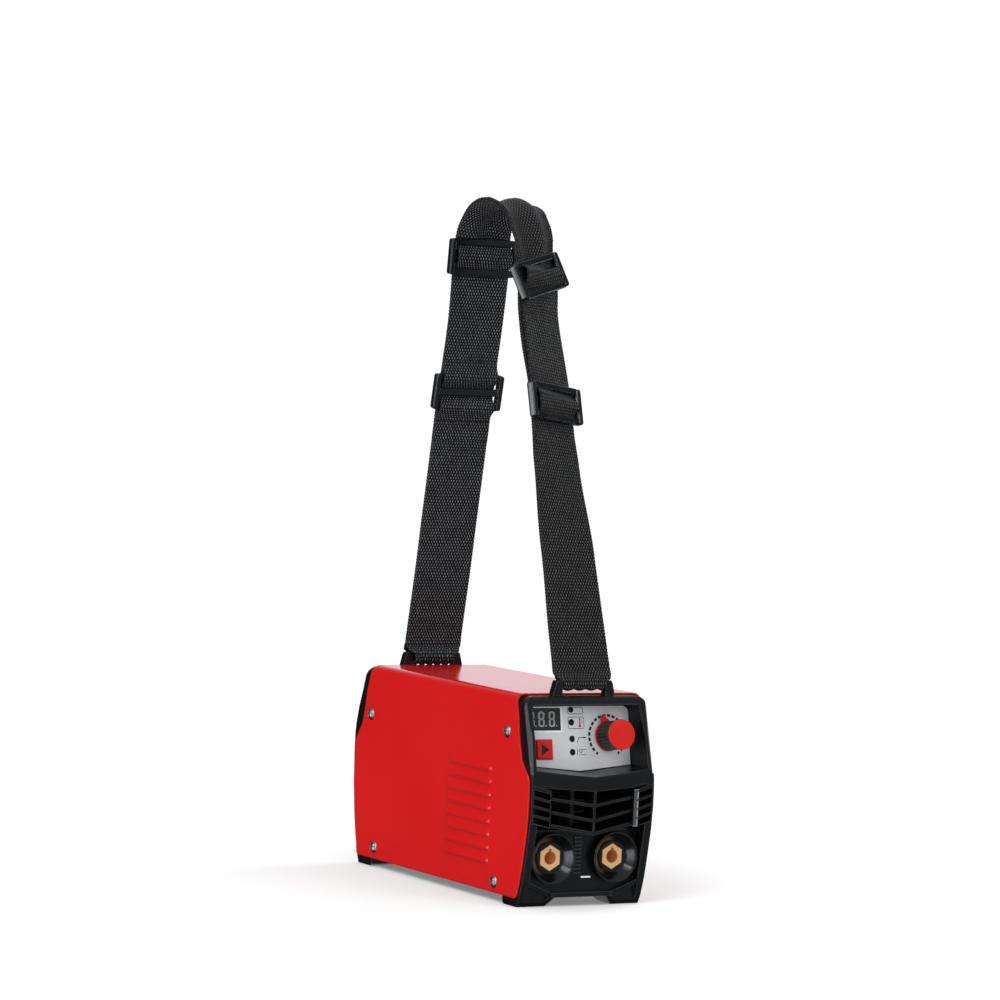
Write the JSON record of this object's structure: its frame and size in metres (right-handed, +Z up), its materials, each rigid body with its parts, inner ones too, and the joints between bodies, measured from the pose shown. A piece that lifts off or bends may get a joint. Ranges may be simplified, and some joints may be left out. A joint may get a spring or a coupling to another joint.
{
  "type": "stick welding inverter",
  "caption": "Portable box-shaped welding power source with moulded ends, side louvres, recessed control fascia, brass output sockets and a webbing carrying strap.",
  "frame": {"origin": "middle of the footprint, on the plane of the four feet", "axes": "+X to the right seen from the front, -Y out of the front (sockets and fascia), +Z up"},
  "size_m": [0.1046, 0.2558, 0.4856],
  "materials": {
    "red_powder_coat": "semi-gloss powder coat",
    "zinc_steel": "zinc plated",
    "black_moulding": "fine moulded grain",
    "fascia_grey": "satin printed film",
    "smoked_window": "smoked acrylic",
    "display_black": "matt",
    "led_lens": "clear tinted",
    "red_plastic": "satin moulded",
    "knob_black": "soft touch",
    "circuit_board": "solder mask",
    "brass": "machined",
    "copper": "tinned copper strip",
    "shroud_black": "moulded, slight sheen",
    "heatsink_alu": "extruded",
    "component_black": "epoxy",
    "capacitor_blue": "sleeved",
    "ferrite": "sintered",
    "winding": "enamelled wire and tape",
    "fan_black": "moulded",
    "webbing": "coarse plain-woven polypropylene",
    "strap_plastic": "moulded acetal"
  },
  "bodies": {
    "housing": {"cover": "red_powder_coat", "cover_screws": "zinc_steel", "base_tray": "zinc_steel", "front_panel": "black_moulding", "rear_panel": "black_moulding", "front_lug": "black_moulding", "rear_lug": "black_moulding", "fascia": "fascia_grey", "display_window": "smoked_window", "display_module": "display_black", "indicator_leds": "led_lens", "mode_switch": "component_black", "potentiometer": "zinc_steel", "pot_nut": "zinc_steel", "control_board": "circuit_board", "control_standoffs": "brass", "socket_shroud_neg": "shroud_black", "socket_shroud_pos": "shroud_black", "socket_insert_neg": "brass", "socket_insert_pos": "brass", "socket_nuts": "brass", "busbars": "copper", "main_board": "circuit_board", "board_standoffs": "brass", "heatsink_left": "heatsink_alu", "heatsink_right": "heatsink_alu", "transistors": "component_black", "capacitors": "capacitor_blue", "transformer_core": "ferrite", "transformer_winding": "winding", "output_choke": "winding", "rectifier_bridge": "component_black", "fan_frame": "fan_black", "fan_screws": "zinc_steel", "fan_guard": "zinc_steel", "power_switch_housing": "component_black", "mains_inlet": "component_black", "inlet_pins": "brass"},
    "knob": {"knob_body": "knob_black", "knob_cap": "red_plastic", "knob_pointer": "red_plastic", "pot_shaft": "zinc_steel"},
    "button": {"mode_button": "red_plastic"},
    "rocker": {"power_switch_rocker": "red_plastic"},
    "fan": {"fan_rotor": "fan_black"},
    "front_leg": {"strap_front": "webbing", "keeper_front": "strap_plastic"},
    "rear_leg": {"strap_rear": "webbing", "keeper_rear": "strap_plastic"},
    "grip": {"strap_grip": "webbing"},
    "front_adjuster": {"adjuster_front": "strap_plastic"},
    "rear_adjuster": {"adjuster_rear": "strap_plastic"}
  },
  "joints": [
    {"name": "knob_turn", "type": "hinge", "parent": "housing", "child": "knob", "pos_m": [0.0227, -0.10429, 0.11474], "axis": [0, 0.9848, -0.1736], "range_deg": [-127, 159]},
    {"name": "button_press", "type": "slide", "parent": "housing", "child": "button", "axis": [0, 0.9848, -0.1736], "range_m": [0, 0.001], "stiffness_N_per_m": 1500},
    {"name": "power_switch", "type": "hinge", "parent": "housing", "child": "rocker", "pos_m": [-0.02, 0.10841, 0.12433], "axis": [1, 0, 0], "range_deg": [-16, 0]},
    {"name": "fan_spin", "type": "hinge", "parent": "housing", "child": "fan", "pos_m": [0, 0.0962, 0.066], "axis": [0, 1, 0], "continuous": true},
    {"name": "strap_swing", "type": "hinge", "parent": "housing", "child": "front_leg", "pos_m": [0, -0.1056, 0.1515], "axis": [1, 0, 0], "range_deg": [-6, 6]},
    {"name": "grip_fold_front", "type": "hinge", "parent": "front_leg", "child": "grip", "pos_m": [0, -0.0206, 0.456], "axis": [1, 0, 0], "range_deg": [-15.71, 15.71]},
    {"name": "grip_fold_rear", "type": "hinge", "parent": "grip", "child": "rear_leg", "pos_m": [0, 0.0576, 0.466], "axis": [1, 0, 0], "range_deg": [-15.2, 15.2]},
    {"name": "front_adjuster_slide", "type": "slide", "parent": "front_leg", "child": "front_adjuster", "axis": [0, 0.2534, 0.9674], "range_m": [-0.007, 0.007]},
    {"name": "rear_adjuster_slide", "type": "slide", "parent": "rear_leg", "child": "rear_adjuster", "axis": [0, -0.1551, 0.9879], "range_m": [-0.007, 0.007]}
  ],
  "couplings": [
    {"joint": "grip_fold_front", "follows": "strap_swing", "ratio": -2.616},
    {"joint": "grip_fold_rear", "follows": "strap_swing", "ratio": 2.5308}
  ]
}
